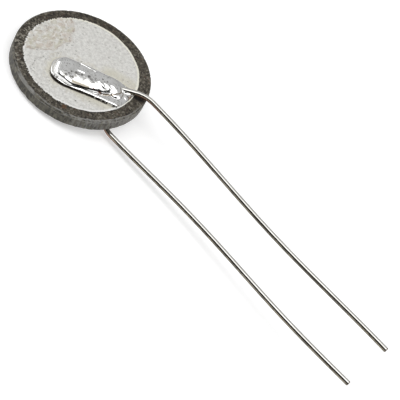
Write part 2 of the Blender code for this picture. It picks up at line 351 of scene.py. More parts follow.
# %% [markdown]
# Pieces whose form follows a rule are grown by geometry nodes. Each tree has named inputs for
# its sizes. The helper below runs a tree on a starting mesh or curve, turns the result into a
# plain mesh, keeps every point's place in the piece's own millimetres as an attribute for the
# finishes to read, and then carries the mesh to its place on the table.

# %% Helpers for growing a piece


def open_group(name, kind, inputs, outputs):
    """A node group with inputs, given as (name, kind, value), and outputs, given as (name, kind)."""
    group = draw_in(bpy.data.node_groups.new(name, kind))
    for label, socket_kind, value in inputs:
        socket = group.interface.new_socket(label, in_out="INPUT", socket_type=f"NodeSocket{socket_kind}")
        if value is not None:
            socket.default_value = value
    for label, socket_kind in outputs:
        group.interface.new_socket(label, in_out="OUTPUT", socket_type=f"NodeSocket{socket_kind}")
    return group, add_node("NodeGroupInput"), group.nodes.new("NodeGroupOutput")


def geometry_tree(name, inputs):
    """A tree that turns a starting geometry into a piece."""
    inputs = [("Geometry", "Geometry", None)] + inputs
    tree, start, end = open_group(name, "GeometryNodeTree", inputs, [("Geometry", "Geometry")])
    tree.is_modifier = True
    return tree, start, end


def finish_tree(geometry, material, end):
    """Ends the tree as a plain mesh with its finish on it."""
    plain = add_node("GeometryNodeRealizeInstances", {"Geometry": geometry})[0]
    coated = add_node("GeometryNodeSetMaterial", {"Geometry": plain, "Material": material})
    feed(end, "Geometry", coated[0])


def note(geometry, name, value):
    """The same as keep, inside a tree."""
    inputs = {"Geometry": geometry, "Name": name, "Value": value}
    return add_node("GeometryNodeStoreNamedAttribute", inputs, domain="POINT")[0]


def vectors_of(items, name):
    """A vector from each item, as rows of an array."""
    values = np.zeros(len(items) * 3, np.float32)
    items.foreach_get(name, values)
    return values.reshape(-1, 3)


def keep(mesh, name, values):
    """Keeps a number or a vector for each point of a mesh, for the finish to read."""
    kind, key = ("FLOAT", "value") if values.ndim == 1 else ("FLOAT_VECTOR", "vector")
    mesh.attributes.new(name, kind, "POINT").data.foreach_set(key, values.astype(np.float32).ravel())


def seat(name, mesh, place):
    """Keeps the points' own places, carries the mesh to the table and makes it a piece."""
    keep(mesh, "own_place", vectors_of(mesh.vertices, "co"))
    mesh.transform(place)
    bm = bmesh.new()
    bm.from_mesh(mesh)
    bmesh.ops.recalc_face_normals(bm, faces=bm.faces)
    open_edges = sum(1 for edge in bm.edges if not edge.is_manifold)
    bm.to_mesh(mesh)
    bm.free()
    triangles = sum(len(face.vertices) - 2 for face in mesh.polygons)
    print(f"{name}: {triangles} triangles, {open_edges} open edges")
    return new_object(name, mesh)


def grow(name, tree, start, values, place, sharp=math.radians(50)):
    """Runs a tree on the starting mesh or curve and seats what it makes."""
    seed = new_object(f"{name}_start", start)
    modifier = seed.modifiers.new("grow", "NODES")
    modifier.node_group = tree
    for item in tree.interface.items_tree:
        if item.in_out == "INPUT" and item.name in values:
            modifier[item.identifier] = values[item.name]
    graph = bpy.context.evaluated_depsgraph_get()
    mesh = bpy.data.meshes.new_from_object(seed.evaluated_get(graph))
    bpy.data.objects.remove(seed)
    mesh.name = name
    mesh.shade_smooth()
    mesh.set_sharp_from_angle(angle=sharp)
    return seat(name, mesh, place)


def section_mesh(name, points):
    """An open line of points, from which a tree takes a turned section or a path."""
    mesh = bpy.data.meshes.new(name)
    edges = [(i, i + 1) for i in range(len(points) - 1)]
    mesh.from_pydata([tuple(p) for p in points], edges, [])
    return mesh


print("growing helpers ready")

# %% [markdown]
# The ceramic disc is pressed from powder and fired. Its flat faces are rough with grain, its
# rim is smoother, and its edges are worn and chipped. It is turned from a half section: a grid
# takes one row for each point of the section and is wrapped round the axis.

# %% Turned half section of the disc


def disc_section(radius, half, margin, face_rows, margin_rows, rim_rows):
    """(r, z) points from the middle of the front face, over the rim, to the middle of the rear."""
    inner = radius - margin
    front = [(inner * step / face_rows, half) for step in range(face_rows)]
    front += [(inner + margin * step / margin_rows, half) for step in range(margin_rows + 1)]
    rim = [(radius, half * (1 - 2 * step / rim_rows)) for step in range(1, rim_rows)]
    rear = [(r, -z) for r, z in reversed(front)]
    return [(r, 0.0, z) for r, z in front + rim + rear]


disc_points = disc_section(DISC_RADIUS, DISC_HALF, margin=1.65, face_rows=5, margin_rows=29, rim_rows=24)
print(len(disc_points), "points in the half section")

# %% Wrapping a section round its axis
WELD = 0.002


def wrap_section(start):
    """Wraps the section round Z. Returns the turned geometry."""
    rows = add_node("GeometryNodeAttributeDomainSize", {"Geometry": start["Geometry"]})["Point Count"]
    columns = start["Turn Steps"] + 1
    grid = add_node("GeometryNodeMeshGrid", {"Vertices X": columns, "Vertices Y": rows})
    index = add_node("GeometryNodeInputIndex")[0]
    row = calc("FLOORED_MODULO", index, rows)
    column = calc("FLOOR", index / rows)
    point = add_node("GeometryNodeInputPosition")[0]
    inputs = {"Geometry": start["Geometry"], "Value": point, "Index": row}
    section = add_node("GeometryNodeSampleIndex", inputs, data_type="FLOAT_VECTOR")[0]
    angle = column / start["Turn Steps"] * math.tau
    turned = add_node("ShaderNodeVectorRotate", {"Vector": section, "Angle": angle}, rotation_type="Z_AXIS")
    placed = add_node("GeometryNodeSetPosition", {"Geometry": grid["Mesh"], "Position": turned[0]})
    return add_node("GeometryNodeMergeByDistance", {"Geometry": placed[0], "Distance": WELD})[0]


def polar(place):
    """A place seen from Z: its X, Y and Z, its distance out and the way out."""
    parts = add_node("ShaderNodeSeparateXYZ", {0: place})
    flat = combine(X=parts["X"], Y=parts["Y"])
    return parts, vector_calc("LENGTH", flat), vector_calc("NORMALIZE", flat)


def way_out(angle):
    """The way out from the axis at an angle that is an input of the tree."""
    return combine(X=calc("COSINE", angle), Y=calc("SINE", angle))


def way_at(angle):
    """The way out from the axis at an angle that is known beforehand."""
    return (math.cos(angle), math.sin(angle), 0.0)


def angle_window(angle, middle, half_width, soft):
    """1 where the angle lies within half_width of the middle, fading out over soft."""
    return fade(abs(angle - middle), half_width + soft, half_width)


print("a section is wrapped once round")

# %% [markdown]
# Wear takes the corner off both edges as a small slope. It is wide along the side on which the
# real disc rubbed, and narrow elsewhere. A point that lies outside the slope is moved straight
# onto it. Then grain and chips are sunk into the surface. Chips come from the cells of a
# Voronoi pattern, so they repeat without a rule that the eye can see, and one bigger notch sits
# where the real disc has lost a flake.

# %% Tree that turns and weathers the disc
NOTCH_ANGLE = -0.99
RUBBED_WAY = way_at(-1.0)


def disc_tree():
    tree, start, end = geometry_tree("fired_ceramic_disc", [
        ("Turn Steps", "Int", 720),
        ("Radius", "Float", DISC_RADIUS),
        ("Half Thickness", "Float", DISC_HALF),
        ("Wear Width", "Float", 0.30),
        ("Least Wear", "Float", 0.10),
        ("Wear Slope", "Float", 0.70),
        ("Grain Size", "Float", 0.15),
        ("Face Grain Depth", "Float", 0.030),
        ("Rim Grain Depth", "Float", 0.008),
        ("Chip Size", "Float", 0.40),
        ("Chip Depth", "Float", 0.06),
        ("Notch Angle", "Float", NOTCH_ANGLE),
        ("Notch Size", "Float", 0.36),
        ("Notch Depth", "Float", 0.24),
        ("Material", "Material", None),
    ])
    body = wrap_section(start)
    place = add_node("GeometryNodeInputPosition")[0]
    parts, out, outward = polar(place)
    from_rim = start["Radius"] - out
    side = calc("SIGN", parts["Z"])
    from_face = start["Half Thickness"] - abs(parts["Z"])

    rub = fade(dot(outward, RUBBED_WAY), 0.0, 0.75)
    uneven = noise(place, 0.9, 3.0, 0.6)
    width = blend(rub, start["Least Wear"], start["Wear Width"]) * fade(uneven, 0.3, 0.7, 0.75, 1.15)
    drop = width * start["Wear Slope"]
    inside = from_rim / width + from_face / drop
    short = larger(1.0 - inside, 0.0)
    square = start["Wear Slope"] * start["Wear Slope"]
    share = 1.0 / (square + 1.0)
    back = short * width * (square * share)
    down = short * drop * share
    worn_off = vector_calc("SUBTRACT", combine(Z=side * down * -1.0), scaled(outward, back))

    grain = noise(place, 1.0 / start["Grain Size"], 3.0, 0.6)
    on_face = fade(from_face, 0.0, 0.12, 1.0, 0.0)
    depth = blend(on_face, start["Rim Grain Depth"], start["Face Grain Depth"])
    sink = fade(grain, 0.62, 0.25) * depth

    cells = add_node("ShaderNodeTexVoronoi",
                     {"Vector": place, "Scale": 1.0 / start["Chip Size"], "Randomness": 1.0})
    bite = fade(cells["Distance"], 0.55, 0.1)
    lot = add_node("ShaderNodeSeparateXYZ", {0: cells["Color"]})["X"]
    chosen = calc("GREATER_THAN", lot, 0.55)
    edge_gap = (inside - 1.0) * width
    chip = bite * chosen * fade(abs(edge_gap), 0.2, 0.04)

    notch_way = way_out(start["Notch Angle"])
    notch_middle = scaled(notch_way, start["Radius"] - 0.12)
    notch_middle = vector_calc("ADD", notch_middle, combine(Z=start["Half Thickness"]))
    to_notch = distance(place, notch_middle) / start["Notch Size"]
    notch = fade(to_notch + (grain - 0.5) * 1.2, 1.1, 0.6)

    sink = sink + chip * start["Chip Depth"] + notch * start["Notch Depth"]
    face_way = combine(Z=side * on_face * -1.0)
    rim_way = scaled(outward, on_face - 1.0)
    sunk = scaled(vector_calc("ADD", face_way, rim_way), sink)
    body = note(body, "broken", larger(chip, notch))
    body = note(body, "edge_gap", edge_gap)
    offset = vector_calc("ADD", worn_off, sunk)
    body = add_node("GeometryNodeSetPosition", {"Geometry": body, "Offset": offset})[0]
    finish_tree(body, start["Material"], end)
    return tree


DISC_TREE = disc_tree()
print("disc tree:", len(DISC_TREE.nodes), "nodes")

# %% [markdown]
# Finishes share a few effects, so each effect is a shader node group with named inputs: specks
# of a given size and density, a soft mottle between two colours, and grains, in which every
# cell of a fine pattern has a brightness of its own, as sintered powder has. A material places
# them with its own values and keeps its own shader.

# %% Shared effects: specks, mottle and grains


def speck_effect():
    """A mask of scattered round spots: 1 in a spot. Share is how many cells hold one."""
    group, start, end = open_group(
        "specks", "ShaderNodeTree",
        [("Place", "Vector", None), ("Size", "Float", 0.3), ("Share", "Float", 0.3), ("Width", "Float", 0.4)],
        [("Mask", "Float"), ("Random", "Float")],
    )
    bent = noise(start["Place"], 2.0 / start["Size"], 1.0)
    offset = (bent - 0.5) * start["Size"]
    place = vector_calc("ADD", start["Place"], offset)
    cells = add_node("ShaderNodeTexVoronoi", {"Vector": place, "Scale": 1.0 / start["Size"]})
    random = add_node("ShaderNodeSeparateXYZ", {0: cells["Color"]})
    chosen = calc("LESS_THAN", random["X"], start["Share"])
    spot = fade(cells["Distance"], start["Width"], start["Width"] * 0.5)
    feed(end, "Mask", chosen * spot)
    feed(end, "Random", random["Y"])
    return group


def mottle_effect():
    """Two colours in soft irregular patches, and the share between them."""
    group, start, end = open_group(
        "mottle", "ShaderNodeTree",
        [
            ("Place", "Vector", None), ("Size", "Float", 0.5), ("Contrast", "Float", 0.15),
            ("Dark", "Color", rgb(0, 0, 0)), ("Light", "Color", rgb(1, 1, 1)),
        ],
        [("Color", "Color"), ("Share", "Float")],
    )
    patches = noise(start["Place"], 1.0 / start["Size"], 4.0, 0.6)
    share = fade(patches, 0.5 - start["Contrast"], 0.5 + start["Contrast"])
    feed(end, "Color", mix(share, start["Dark"], start["Light"]))
    feed(end, "Share", share)
    return group


def grain_effect():
    """A brightness from 0 to 1 for each grain, drawn together a little into clusters."""
    group, start, end = open_group(
        "grains", "ShaderNodeTree",
        [("Place", "Vector", None), ("Size", "Float", 0.15), ("Cluster", "Float", 0.4)],
        [("Value", "Float")],
    )
    pitch = 1.0 / start["Size"]
    inputs = {"Vector": start["Place"], "Scale": pitch, "Smoothness": 0.25}
    cells = add_node("ShaderNodeTexVoronoi", inputs, feature="SMOOTH_F1")
    lot = add_node("ShaderNodeSeparateXYZ", {0: cells["Color"]})["X"]
    cluster = noise(start["Place"], pitch * 0.3, 3.0, 0.6)
    cluster = fade(cluster, 0.35, 0.65)
    feed(end, "Value", blend(start["Cluster"], lot, cluster))
    return group


SPECKS = speck_effect()
MOTTLE = mottle_effect()
GRAINS = grain_effect()


def use_effect(group, **inputs):
    return add_node("ShaderNodeGroup", inputs, node_tree=group)


def new_finish(name, roughness, metallic):
    """A material, its shader and the place of each point in the piece's own frame."""
    material = bpy.data.materials.new(name)
    material.use_nodes = True
    shader = draw_in(material.node_tree).nodes["Principled BSDF"]
    shader.inputs["Roughness"].default_value = roughness
    shader.inputs["Metallic"].default_value = metallic
    place = add_node("ShaderNodeAttribute", attribute_name="own_place")["Vector"]
    return material, shader, place


def noted(name):
    """A number that a piece's tree kept for each point."""
    return add_node("ShaderNodeAttribute", attribute_name=name)["Fac"]


def bump(shader, height, depth):
    """Shallow relief, with a depth in metres for a height of 1."""
    feed(shader, "Normal", add_node("ShaderNodeBump", {"Height": height, "Distance": depth})[0])


def flattened(place):
    return vector_calc("MULTIPLY", place, (1.0, 1.0, 0.0))


def streak_mark(place, begin, finish, width):
    """A short mark from one place to another: 1 along it, fading out over its width."""
    run = Vector(finish) - Vector(begin)
    gap = vector_calc("SUBTRACT", place, begin)
    share = dot(gap, tuple(run / run.length_squared))
    share = calc("MINIMUM", larger(share, 0.0), 1.0)
    off = distance(gap, scaled(tuple(run), share))
    return fade(off, width, width * 0.2)


print("effects:", SPECKS.name, MOTTLE.name, GRAINS.name)

# %% [markdown]
# The finish of the ceramic: on the flat faces dark and light grains with a brown cast, coarser
# and paler on one side of the disc and darker on another, and on the rim an even warm grey.
# Where the edge is worn the fresh ceramic shows pale: a thin broken line along the slope's upper
# edge, a broad strip where it rubbed most, a few smears past the notch, and pale scuffs down the
# rim. Rust brown spots lie on the face, with one scorched place by the rim, and the front wire's
# shadow is painted on the face as one dark streak. Angles and places are measured in the disc's own frame.

# %% Finish of the ceramic
PALE_CERAMIC = rgb(0.27, 0.265, 0.25)
RUBBED_STRIP = (-1.71, 0.15)
SMEARS = (-0.55, 0.30)
SCUFFED = (-0.40, 0.45)
# Where the painted shadow of the front wire lies on the face.
WIRE_SHADOW_STREAK = ((5.80, 2.00), (7.05, 2.72))
COARSE_WAY = way_at(-2.6)
DARKER_WAY = way_at(2.3)
SCORCH_RADIUS = 6.98
SCORCH_ANGLE = -1.06


def ceramic_finish():
    material, shader, place = new_finish("fired_ceramic", 0.7, 0.0)
    parts, _, outward = polar(place)
    angle = calc("ARCTAN2", parts["Y"], parts["X"])
    from_face = DISC_HALF - abs(parts["Z"])
    edge_gap = noted("edge_gap")
    on_face = fade(edge_gap, -0.03, 0.05) * fade(from_face, 0.16, 0.06)

    grain = use_effect(GRAINS, Place=place, Size=0.18, Cluster=0.25)["Value"]
    face_colour = mix(fade(grain, 0.1, 0.5), rgb(0.016, 0.013, 0.01), rgb(0.062, 0.053, 0.039))
    coarse_side = fade(dot(place, COARSE_WAY), 5.0, 7.2)
    pale_start = fade(coarse_side, 0.0, 1.0, 0.57, 0.53)
    pale_grain = mix(coarse_side, rgb(0.155, 0.141, 0.113), rgb(0.24, 0.225, 0.188))
    face_colour = mix(fade(grain, pale_start, 0.88), face_colour, pale_grain)
    dimmed = fade(dot(place, DARKER_WAY), 2.0, 7.5)
    dimmed = mix(dimmed, rgb(1, 1, 1), rgb(0.76, 0.74, 0.7))
    face_colour = mix(1.0, face_colour, dimmed, "MULTIPLY")
    rust = use_effect(SPECKS, Place=place, Size=0.42, Share=0.25, Width=0.42)
    face_colour = mix(rust["Mask"] * 0.5, face_colour, rgb(0.085, 0.045, 0.028))
    scorched = (SCORCH_RADIUS * math.cos(SCORCH_ANGLE), SCORCH_RADIUS * math.sin(SCORCH_ANGLE), DISC_HALF)
    scorch = fade(distance(place, scorched), 0.42, 0.12) * fade(grain, 0.2, 0.6, 0.4, 0.9)
    face_colour = mix(scorch, face_colour, rgb(0.1, 0.045, 0.016))

    rim_place = vector_calc("MULTIPLY", place, (1.0, 1.0, 0.4))
    rim_patch = use_effect(MOTTLE, Place=rim_place, Size=0.7, Contrast=0.2, Dark=rgb(0.0625, 0.056, 0.04),
                           Light=rgb(0.0955, 0.089, 0.066))
    rim_grain = use_effect(GRAINS, Place=rim_place, Size=0.19, Cluster=0.3)["Value"]
    rim_shade = mix(fade(rim_grain, 0.22, 0.78), rgb(0.36, 0.35, 0.32), rgb(1.5, 1.5, 1.5))
    rim_colour = mix(1.0, rim_patch["Color"], rim_shade, "MULTIPLY")
    scuff_place = combine(X=angle * 26.0, Y=parts["Z"] * 0.8)
    scuffs = noise(scuff_place, 1.0, 4.0, 0.7) * angle_window(angle, *SCUFFED, 0.3)
    rim_colour = mix(fade(scuffs, 0.4, 0.66, 0.0, 0.6), rim_colour, PALE_CERAMIC)
    colour = mix(on_face, rim_colour, face_colour)

    front = calc("GREATER_THAN", parts["Z"], 0.0)
    rub = fade(dot(outward, RUBBED_WAY), 0.1, 0.6, 0.12, 1.0)
    ragged = noise(place, 4.5, 3.0, 0.7)
    line_gap = abs(edge_gap + 0.03 + (ragged - 0.5) * 0.16)
    line = fade(line_gap, 0.1, 0.03) * fade(noise(place, 1.9, 3.0, 0.7), 0.34, 0.56, 0.2, 0.75)
    on_slope = fade(edge_gap, 0.04, -0.04) * fade(edge_gap, -0.42, -0.24)
    along_slope = combine(X=angle * 2.4, Y=edge_gap * 7.0)
    strip = on_slope * angle_window(angle, *RUBBED_STRIP, 0.1)
    strip = strip * fade(noise(along_slope, 1.3, 3.0, 0.6), 0.3, 0.6, 0.45, 0.85)
    smear_place = combine(X=angle * 9.0, Y=edge_gap * 4.0)
    smear = on_slope * angle_window(angle, *SMEARS, 0.15)
    smear = smear * fade(noise(smear_place, 1.2, 3.0, 0.65), 0.5, 0.62, 0.0, 0.75)
    broken = noted("broken") * fade(ragged, 0.35, 0.55, 0.2, 0.8)
    seen_wear = larger(strip, smear) * front
    colour = mix(larger(larger(line, broken) * rub, seen_wear), colour, PALE_CERAMIC)
    # Painted shadow of the front wire: a near-black streak on the face beside the wire, where it passes over
    # the rim.
    begin, finish = ((x, y, DISC_HALF) for x, y in WIRE_SHADOW_STREAK)
    colour = mix(streak_mark(place, begin, finish, 0.36) * 0.95, colour, rgb(0.008, 0.006, 0.005))
    feed(shader, "Base Color", colour)

    feed(shader, "Roughness", fade(on_face, 0.0, 1.0, 0.5, 0.85))
    bump(shader, grain * on_face + rim_grain * 0.4, 0.02 * MM)
    return material


CERAMIC = ceramic_finish()
section = section_mesh("disc_section", disc_points)
disc = grow("ceramic_disc_body", DISC_TREE, section, {"Material": CERAMIC}, DISC_PLACE)
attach(disc, "root")
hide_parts("ceramic_disc")

# %% [markdown]
# Each lead runs straight from its cut end to the rim, then kinks and lies across the face. Its
# route is a rule: a slow wave of a quarter of a millimetre, left by handling, then an arc and
# a straight end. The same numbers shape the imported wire, so this one lies in its place.

# %% The route of a lead
WIRE_RADIUS = 0.3
WIRE_HEIGHT = 0.49
LEAD_PITCH = 5.0
LEAD_REACH = 45.3
SOLDERED_LENGTH = 6.6
KINK_ANGLE = math.radians(44)
KINK_RADIUS = 3.4
KINK_PAST_RIM = 0.3
HANDLING_BENDS = {
    FRONT: {"near": 0.0, "far": -0.14, "wave": 0.27, "length": 35.6, "crest": 10.8},
    REAR: {"near": 0.15, "far": -0.26, "wave": 0.21, "length": 31.0, "crest": 5.8},
}


def lead_offset(bend, x):
    """How far the free lead lies from the middle line at x, and its slope."""
    along = (x - DISC_RADIUS) / (LEAD_REACH - DISC_RADIUS)
    turn = math.tau / bend["length"]
    phase = turn * (x - bend["crest"])
    offset = LEAD_PITCH / 2 + bend["near"] * (1 - along) + bend["far"] * along
    slope = (bend["far"] - bend["near"]) / (LEAD_REACH - DISC_RADIUS)
    return offset + bend["wave"] * math.cos(phase), slope - bend["wave"] * turn * math.sin(phase)


def lead_route(side, free_steps=150, kink_steps=24, inner_steps=24):
    """Points in the face's frame, from the soldered end to the cut end."""
    bend = HANDLING_BENDS[side]
    free_start = DISC_RADIUS + KINK_PAST_RIM
    y, slope = lead_offset(bend, free_start)
    heading = math.atan(slope)
    centre = (free_start + KINK_RADIUS * math.sin(heading), y - KINK_RADIUS * math.cos(heading))
    kink = []
    for step in range(kink_steps, 0, -1):
        angle = heading + (KINK_ANGLE - heading) * step / kink_steps
        kink.append((centre[0] - KINK_RADIUS * math.sin(angle), centre[1] + KINK_RADIUS * math.cos(angle)))
    inner = []
    for step in range(inner_steps, 0, -1):
        back = SOLDERED_LENGTH * step / inner_steps
        inner.append((kink[0][0] - back * math.cos(KINK_ANGLE), kink[0][1] - back * math.sin(KINK_ANGLE)))
    free = []
    for step in range(free_steps + 1):
        x = free_start + (LEAD_REACH - free_start) * step / free_steps
        free.append((x, lead_offset(bend, x)[0]))
    return [(px, py, WIRE_HEIGHT) for px, py in inner + kink + free]


print("front lead route:", len(lead_route(FRONT)), "points")

# %% [markdown]
# The wire is drawn through a die and dipped in tin. The tree sweeps a circle along the route,
# rounds the sheared edge of the cut end, and notes for each point how far along the wire it is
# and how far from the cut end, so that the finish can run its streaks lengthways.

# %% Tree that draws the wire


def wire_tree():
    tree, start, end = geometry_tree("drawn_wire", [
        ("Radius", "Float", WIRE_RADIUS),
        ("Ring Points", "Int", 32),
        ("Step", "Float", 0.08),
        ("Sheared Edge", "Float", 0.06),
        ("Material", "Material", None),
    ])
    route = add_node("GeometryNodeMeshToCurve", {"Mesh": start["Geometry"]})[0]
    route = add_node("GeometryNodeResampleCurve", {"Curve": route, "Length": start["Step"]}, mode="LENGTH")[0]
    route = add_node("GeometryNodeSetCurveNormal", {"Curve": route}, mode="Z_UP")[0]
    travelled = add_node("GeometryNodeSplineParameter")["Length"]
    total = add_node("GeometryNodeSplineLength")["Length"]
    left = total - travelled
    route = note(route, "along", travelled)
    route = note(route, "to_end", left)
    rounded = fade(left, 0.0, start["Sheared Edge"], 0.82, 1.0)
    ring = add_node("GeometryNodeCurvePrimitiveCircle",
                    {"Resolution": start["Ring Points"], "Radius": start["Radius"]})
    inputs = {"Curve": route, "Profile Curve": ring["Curve"], "Scale": rounded, "Fill Caps": True}
    tube = add_node("GeometryNodeCurveToMesh", inputs)
    finish_tree(tube[0], start["Material"], end)
    return tree


WIRE_TREE = wire_tree()
print("wire tree:", [socket.name for socket in WIRE_TREE.interface.items_tree])

# %% [markdown]
# Bright tin shows a clean band of light along the top of each lead. Below it a reflection is painted
# into the colour: olive for the table beneath, near-black just under the band for the dark open side of
# the studio, with a copper tint round the kink. The cut end has a brown burr and a bare sheared face.
# So the finish needs to know how far below the top of the wire a point lies: each lead notes that for its
# points once it is seated.

# %% Finish of the tinned wire
COPPER_REACH = 2.2


def wire_finish():
    material, shader, place = new_finish("tinned_copper_wire", 0.1, 1.0)
    along = noted("along")
    below = noted("below_top")
    streak_place = combine(X=along * 0.12, Y=below * 5.0, Z=dot(place, (0.0, 1.0, 0.0)) * 0.4)
    streaks = noise(streak_place, 2.2, 4.0, 0.7)
    tin = mix(fade(streaks, 0.35, 0.65), rgb(0.66, 0.65, 0.62), rgb(0.82, 0.81, 0.78))
    worn = fade(below, 0.02, 0.05) * fade(streaks, 0.35, 0.55, 0.4, 1.0)
    tin = mix(worn, tin, rgb(0.5, 0.49, 0.46))
    patches = noise(place, 0.9, 4.0, 0.65)
    to_rim = vector_calc("LENGTH", place) - DISC_RADIUS
    near_kink = fade(abs(to_rim - 0.2), COPPER_REACH, 0.6)
    level = below + (patches - 0.5) * 0.15 + near_kink * 0.12
    # Painted reflection on the flanks and underside: olive for the table, a near-black line just under the band
    # for the dark open side, darker again underneath.
    painted_reflection_mask = fade(level, 0.24, 0.31) * fade(streaks, 0.3, 0.6, 0.8, 1.0)
    painted_table_reflection = mix(fade(patches, 0.42, 0.6), rgb(0.34, 0.3, 0.215), rgb(0.105, 0.09, 0.062))
    painted_table_reflection = mix(fade(level, 0.41, 0.36), painted_table_reflection, rgb(0.018, 0.015, 0.012))
    painted_table_reflection = mix(fade(level, 0.52, 0.62), painted_table_reflection, rgb(0.055, 0.049, 0.032))
    tin = mix(painted_reflection_mask, tin, painted_table_reflection)
    copper = near_kink * fade(below, 0.33, 0.42) * fade(patches, 0.38, 0.5)
    tin = mix(copper * 0.85, tin, rgb(0.4, 0.24, 0.18))
    tin = mix(fade(noted("to_end"), 0.12, 0.06), tin, rgb(0.16, 0.12, 0.095))
    sheared = fade(noted("to_end"), 0.03, 0.008)
    tin = mix(sheared, tin, rgb(0.5, 0.48, 0.45))
    feed(shader, "Base Color", tin)
    rough = fade(patches, 0.45, 0.68, 0.05, 0.09) + painted_reflection_mask * 0.14
    feed(shader, "Roughness", rough + sheared * 0.25)
    feed(shader, "Metallic", fade(painted_reflection_mask, 0.0, 1.0, 1.0, 0.75))
    bump(shader, noise(streak_place, 5.0, 3.0, 0.6), 0.002 * MM)
    return material


def note_below_top(lead):
    """0 along the top of the lead as it lies on the table, 1 along its underside."""
    keep(lead.data, "below_top", (1 - vectors_of(lead.data.vertices, "normal")[:, 2]) / 2)


TINNED = wire_finish()
for side, side_name in SIDE_NAMES.items():
    route = section_mesh(f"{side_name}_route", lead_route(side))
    lead = grow(f"{side_name}_lead_wire", WIRE_TREE, route, {"Material": TINNED}, face_place(side))
    note_below_top(lead)
    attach(lead, "root")
    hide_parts(f"{side_name}_lead")

# %% [markdown]
# The solder bead is drawn by its outline and its heights. It starts where the lead crosses the
# edge of the silver, runs inwards beside the wire and ends in a round nose. A place on it is
# given by a, the way inwards from the wire's exit, and b, the way across. The outline follows
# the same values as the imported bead, with many more points and a squarer nose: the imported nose
# starts at the same place, but the one drawn here reaches a little less far.

# %% Outline of a bead
COAT_RADIUS = 6.75
COAT_TOP = 0.06
COAT_SHIFTS = {FRONT: (-0.16, -0.05), REAR: (0.10, 0.12)}
COAT_MARGIN = 0.15
WETTED_RADIUS = COAT_RADIUS - COAT_MARGIN
BEAD_FOOT = 0.08
BEAD_LENGTH = 9.7
BEAD_HALF_WIDTH = 1.95
BEAD_ANGLE = math.radians(34.7)
BEAD_OFF_WIRE = 0.66
BEAD_NOSE = 2.4
NOSE_REACH = 2.28
END_STEPS = 72
BEAD_SHOULDER = 0.62
BEAD_FLARE = 0.16
NOSE_SQUARENESS = {"upper": 3.0, "lower": 2.3}
INWARD = -np.array([math.cos(BEAD_ANGLE), math.sin(BEAD_ANGLE)])
ACROSS = np.array([-math.sin(BEAD_ANGLE), math.cos(BEAD_ANGLE)])
NOSE_START = BEAD_LENGTH - BEAD_NOSE


def smooth_step(t):
    t = np.clip(t, 0.0, 1.0)
    return t * t * (3 - 2 * t)


def coat_middle(side):
    return np.array([0.0, -side * LEAD_PAIR_SHIFT]) + np.array(COAT_SHIFTS[side])


def bead_exit(side):
    """Where the lead's axis crosses the edge of the wetted silver."""
    route = np.array(lead_route(side))[:, :2]
    out = np.linalg.norm(route - coat_middle(side), axis=1)
    last = int(np.argmax(out > WETTED_RADIUS))
    share = (WETTED_RADIUS - out[last - 1]) / (out[last] - out[last - 1])
    return route[last - 1] + (route[last] - route[last - 1]) * share


def bead_place(side, a, b):
    return bead_exit(side) + INWARD * a + ACROSS * b


def bead_edge(a, upper):
    """The outline's b at a."""
    if not upper:
        return -BEAD_OFF_WIRE - BEAD_HALF_WIDTH - BEAD_FLARE * smooth_step((4.6 - a) / 2.6)
    full = BEAD_HALF_WIDTH - BEAD_OFF_WIRE
    return BEAD_SHOULDER + (full - BEAD_SHOULDER) * smooth_step(a / NOSE_START)


def edge_start(side, upper):
    """The a at which that side of the outline meets the edge of the wetted silver."""
    low, high = -BEAD_LENGTH / 2, NOSE_START
    for _ in range(40):
        middle = (low + high) / 2
        out = np.linalg.norm(bead_place(side, middle, bead_edge(middle, upper)) - coat_middle(side))
        low, high = (middle, high) if out > WETTED_RADIUS else (low, middle)
    return high


def bead_columns(side, side_steps=130):
    """The outline's points, and for each the share of the crest line that it climbs to."""
    points, shares = [], []
    starts = {upper: edge_start(side, upper) for upper in (True, False)}

    def add_side_point(upper, share):
        a = starts[upper] + (NOSE_START - starts[upper]) * share
        points.append(bead_place(side, a, bead_edge(a, upper)))
        shares.append(share)

    for step in range(side_steps + 1):
        add_side_point(True, step / side_steps)
    for step in range(1, END_STEPS):
        angle = math.pi * step / END_STEPS
        power = 2 / NOSE_SQUARENESS["upper" if angle < math.pi / 2 else "lower"]
        a = NOSE_START + NOSE_REACH * math.sin(angle) ** power
        b = math.copysign(abs(math.cos(angle)) ** power, math.cos(angle))
        points.append(bead_place(side, a, -BEAD_OFF_WIRE + BEAD_HALF_WIDTH * b))
        shares.append(1.0)
    for step in range(side_steps, -1, -1):
        add_side_point(False, step / side_steps)
    first, last = points[0] - coat_middle(side), points[-1] - coat_middle(side)
    begin, finish = math.atan2(last[1], last[0]), math.atan2(first[1], first[0])
    for step in range(1, END_STEPS):
        angle = begin + (finish - begin) * step / END_STEPS
        points.append(coat_middle(side) + WETTED_RADIUS * np.array([math.cos(angle), math.sin(angle)]))
        shares.append(0.0)
    return np.array(points), np.array(shares)


print("front bead outline:", len(bead_columns(FRONT)[0]), "points")

# %% [markdown]
# The heights are what the eye reads, because solder is a mirror and shows its slope. A thin
# apron of solder slopes up from the outline. Out of it rises the dome. Its flank is given by
# tables of tilts: each pair holds a share of the way from the crest to the foot and the tilt
# there, in degrees. The tilt grows slowly and then fast, so that the dome shows the overhead lamp
# as one long band, low on its side. There is a table for the middle of the bead, one for its
# widest part, one for the nose and one for the nose's tip, and they pass into each other along
# the bead. Towards the rim the dome's foot draws back to the wire and leaves a flat skirt, which
# falls off gently at the edge of the silver. There the solder cooled last, in lobes and ridges,
# and it draws up along the wire in a hollow curve.

